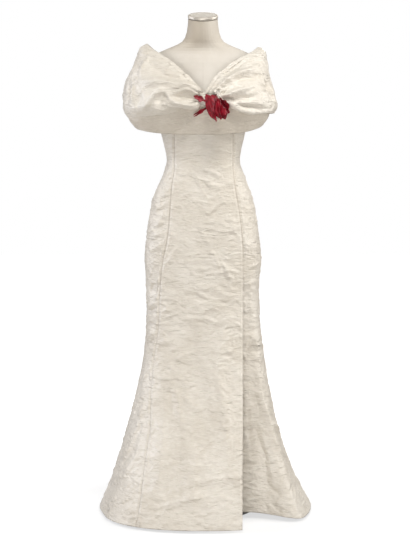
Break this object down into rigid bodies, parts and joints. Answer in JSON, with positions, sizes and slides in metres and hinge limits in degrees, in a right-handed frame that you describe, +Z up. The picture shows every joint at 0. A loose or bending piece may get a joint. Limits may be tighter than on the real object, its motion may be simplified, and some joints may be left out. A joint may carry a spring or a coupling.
{
  "type": "wedding dress on a limbless dress form",
  "caption": "Full-length trumpet gown in crinkled ivory silk with a draped off-shoulder collar, a crimson silk rose and a front pleat, worn by a linen dress form on a weighted stand.",
  "frame": {"origin": "centre of the stand's underside on the floor, below the dress form's pole", "axes": "+Z up, -Y towards the front of the gown, +X to the right of someone facing its front"},
  "size_m": [0.6689, 0.6649, 1.5572],
  "materials": {
    "gown_silk": "crinkled ivory silk with a soft sheen",
    "collar_silk": "smooth ivory silk, softly draped",
    "rose_silk": "crimson silk",
    "form_linen": "natural linen cover, matt",
    "cap_metal": "warm nickel with a bevelled rim",
    "stand_paint": "satin off-white paint"
  },
  "bodies": {
    "root": {"front_panel": "gown_silk", "side_front_left": "gown_silk", "side_front_right": "gown_silk", "back_left": "gown_silk", "back_right": "gown_silk", "collar_drape_left": "collar_silk", "collar_drape_right": "collar_silk", "collar_band_front": "collar_silk", "collar_band_back": "collar_silk", "rose_petal_1": "rose_silk", "rose_petal_2": "rose_silk", "rose_petal_3": "rose_silk", "rose_petal_4": "rose_silk", "rose_petal_5": "rose_silk", "rose_petal_6": "rose_silk", "rose_leaf_1": "rose_silk", "rose_leaf_2": "rose_silk", "form_torso": "form_linen", "neck_cap": "cap_metal", "stand_base": "stand_paint", "stand_pole": "stand_paint", "stand_socket": "stand_paint"}
  },
  "joints": []
}
